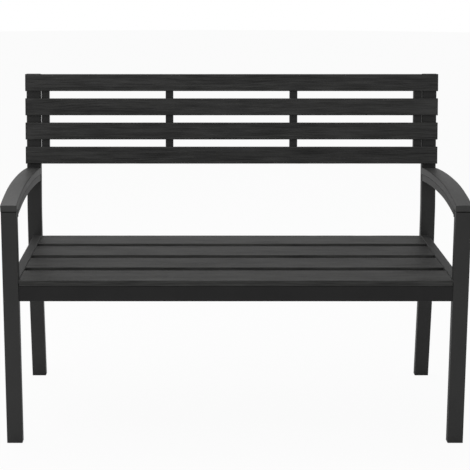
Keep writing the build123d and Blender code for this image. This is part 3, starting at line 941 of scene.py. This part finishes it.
class BENCH_OT_coat_frame(Operator):
    """Powder-coat the legs, arm tubes, rails, bearers and uprights"""
    bl_idname = "bench.coat_frame"
    bl_label = "Coat the frame"

    def execute(self, context):
        bench = context.scene.bench
        coat_nodes(bench, ("frame_coat",))
        # Painted shade: a darker copy of the coat on the seat panel's rails and bearers, for the shadow
        # under the seat slats.
        panel = powder_coat("panel_coat_shaded", bench.coat.panel_shaded_colour, bench.coat.slat_shine, bench.coat)
        for node in SEAT_FRAME:
            dress(node, panel)
        return {"FINISHED"}


class BENCH_OT_plastic_trim(Operator):
    """Give the feet, caps and plugs their plastic"""
    bl_idname = "bench.plastic_trim"
    bl_label = "Feet, caps and plugs"

    def execute(self, context):
        coat_nodes(context.scene.bench, ("plug_plastic",))
        return {"FINISHED"}


class BENCH_OT_fasteners(Operator):
    """Plate the bolts, washers, rivet nuts and screws"""
    bl_idname = "bench.fasteners"
    bl_label = "Fasteners"

    def execute(self, context):
        coat_nodes(context.scene.bench, ("bolt_steel", "screw_steel", "rivet_nut_steel"))
        return {"FINISHED"}


class BENCH_OT_back_slats(Operator):
    """Make the embossed back slats"""
    bl_idname = "bench.back_slats"
    bl_label = "Back slats"

    def execute(self, context):
        for index in SLATS:
            back_slat(context.scene.bench, index)
        return {"FINISHED"}


class BENCH_OT_seat_slats(Operator):
    """Make the embossed seat slats"""
    bl_idname = "bench.seat_slats"
    bl_label = "Seat slats"

    def execute(self, context):
        for index in SLATS:
            seat_slat(context.scene.bench, index)
        return {"FINISHED"}


class BENCH_OT_arm_pads(Operator):
    """Make the moulded arm pads"""
    bl_idname = "bench.arm_pads"
    bl_label = "Arm pads"

    def execute(self, context):
        for side in SIDES:
            arm_pad(context.scene.bench, side)
        return {"FINISHED"}


class BENCH_OT_welds(Operator):
    """Lay the weld beads of the side frames and the back"""
    bl_idname = "bench.welds"
    bl_label = "Weld beads"

    def execute(self, context):
        bench = context.scene.bench
        bead_group(bench, "side_rail_welds", rail_weld_paths("left") + rail_weld_paths("right"))
        bead_group(bench, "arm_welds", arm_weld_paths(bench, "left") + arm_weld_paths(bench, "right"))
        bead_group(bench, "back_upright_welds", upright_weld_paths(bench))
        return {"FINISHED"}


class BENCH_OT_stage(Operator):
    """Set the camera, the lamps, the sky and the floor"""
    bl_idname = "bench.stage"
    bl_label = "Stage"

    def execute(self, context):
        stage = context.scene.bench.stage
        context.scene.view_settings.view_transform = "Standard"
        stage_camera(stage)
        stage_lamp("top_lamp", stage.top_place, stage.lamp_target, stage.top_size, stage.top_power)
        stage_lamp("side_lamp", stage.side_place, stage.lamp_target, stage.side_size, stage.side_power)
        stage_sky(context.scene, stage)
        stage_floor(stage)
        return {"FINISHED"}


# Stage

def stage_camera(stage):
    """The camera in front of the bench, tilted down, with the lens shift of the picture."""
    data = bpy.data.cameras.new("camera")
    data.sensor_width = SENSOR_WIDTH
    data.lens = stage.lens
    data.shift_x = stage.shift_across
    data.shift_y = stage.shift_up
    camera = bpy.data.objects.new("camera", data)
    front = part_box("front_leg_right")[0].y
    camera.location = (stage.offset, front - stage.distance, stage.height)
    camera.rotation_euler = (pi / 2 - stage.pitch, 0, 0)
    bpy.context.scene.collection.objects.link(camera)
    bpy.context.scene.camera = camera


def stage_lamp(name, place, target, size, power):
    """A square soft lamp that faces a target."""
    data = bpy.data.lights.new(name, "AREA")
    data.size = size
    data.energy = power
    lamp = bpy.data.objects.new(name, data)
    lamp.location = place
    aim = np.array(target) - np.array(place)
    flat = float(np.hypot(aim[0], aim[1]))
    lamp.rotation_euler = (atan2(flat, -aim[2]), 0, atan2(aim[1], aim[0]) - pi / 2)
    bpy.context.scene.collection.objects.link(lamp)


def stage_sky(scene, stage):
    """Plain white where the camera looks, and an even light from all round on the bench."""
    scene.world = bpy.data.worlds.new("sky")
    scene.world.use_nodes = True
    shader = Shader(scene.world.node_tree)
    seen, glossy = shader.ray("Is Camera Ray"), shader.ray("Is Glossy Ray")
    strength = stage.sky + (1 - stage.sky) * seen + (stage.gleam - stage.sky) * glossy
    light = shader.add("ShaderNodeBackground", {}, {"Color": (1, 1, 1, 1), "Strength": strength})
    shader.add("ShaderNodeOutputWorld", {}, {"Surface": light.outputs[0]})


def stage_floor(stage):
    """A round white floor that keeps the bench's shadow, lifted towards white for the camera."""
    sides = 96
    angle = np.linspace(0, 2 * pi, sides + 1)[:-1]
    rim = stage.floor_radius * np.stack((np.cos(angle), np.sin(angle), np.zeros(sides)), 1)
    mesh = bpy.data.meshes.new("floor")
    mesh.from_pydata(rim.tolist(), [], [list(range(len(rim)))])
    material = bpy.data.materials.new("floor_white")
    material.use_nodes = True
    shader = Shader(material.node_tree)
    matt = shader.add("ShaderNodeBsdfDiffuse", {}, {"Color": opaque([stage.floor_grey] * 3)})
    white = shader.add("ShaderNodeEmission", {}, {"Color": (1, 1, 1, 1), "Strength": 1.0})
    mixed = shader.add("ShaderNodeMixShader", {}, {
        0: shader.ray("Is Camera Ray") * stage.floor_white, 1: matt.outputs[0], 2: white.outputs[0]})
    shader.add("ShaderNodeOutputMaterial", {}, {"Surface": mixed.outputs[0]})
    mesh.materials.append(material)
    floor = bpy.data.objects.new("floor", mesh)
    bpy.context.scene.collection.objects.link(floor)


STEPS = (BENCH_OT_coat_frame, BENCH_OT_plastic_trim, BENCH_OT_fasteners, BENCH_OT_back_slats,
         BENCH_OT_seat_slats, BENCH_OT_arm_pads, BENCH_OT_welds, BENCH_OT_stage)


class BENCH_PT_panel(Panel):
    """Buttons and settings of the bench"""
    bl_idname = "BENCH_PT_panel"
    bl_label = "Garden bench"
    bl_space_type = "VIEW_3D"
    bl_region_type = "UI"
    bl_category = "Bench"

    def draw(self, context):
        for step in STEPS:
            self.layout.operator(step.bl_idname)
        bench = context.scene.bench
        for group in (bench.coat, bench.grain, bench.slats, bench.arms, bench.welds, bench.stage):
            box = self.layout.box()
            for name in group.__annotations__:
                box.prop(group, name)


CLASSES = (CoatSettings, GrainSettings, SlatSettings, ArmSettings, WeldSettings, StageSettings,
           BenchSettings, *STEPS, BENCH_PT_panel)


def register():
    for each in CLASSES:
        bpy.utils.register_class(each)
    bpy.types.Scene.bench = PointerProperty(type=BenchSettings)


def unregister():
    del bpy.types.Scene.bench
    for each in reversed(CLASSES):
        bpy.utils.unregister_class(each)


def main():
    register()
    bpy.ops.bench.coat_frame()
    bpy.ops.bench.plastic_trim()
    bpy.ops.bench.fasteners()
    bpy.ops.bench.back_slats()
    bpy.ops.bench.seat_slats()
    bpy.ops.bench.arm_pads()
    bpy.ops.bench.welds()
    bpy.ops.bench.stage()


if __name__ == "__main__":
    main()
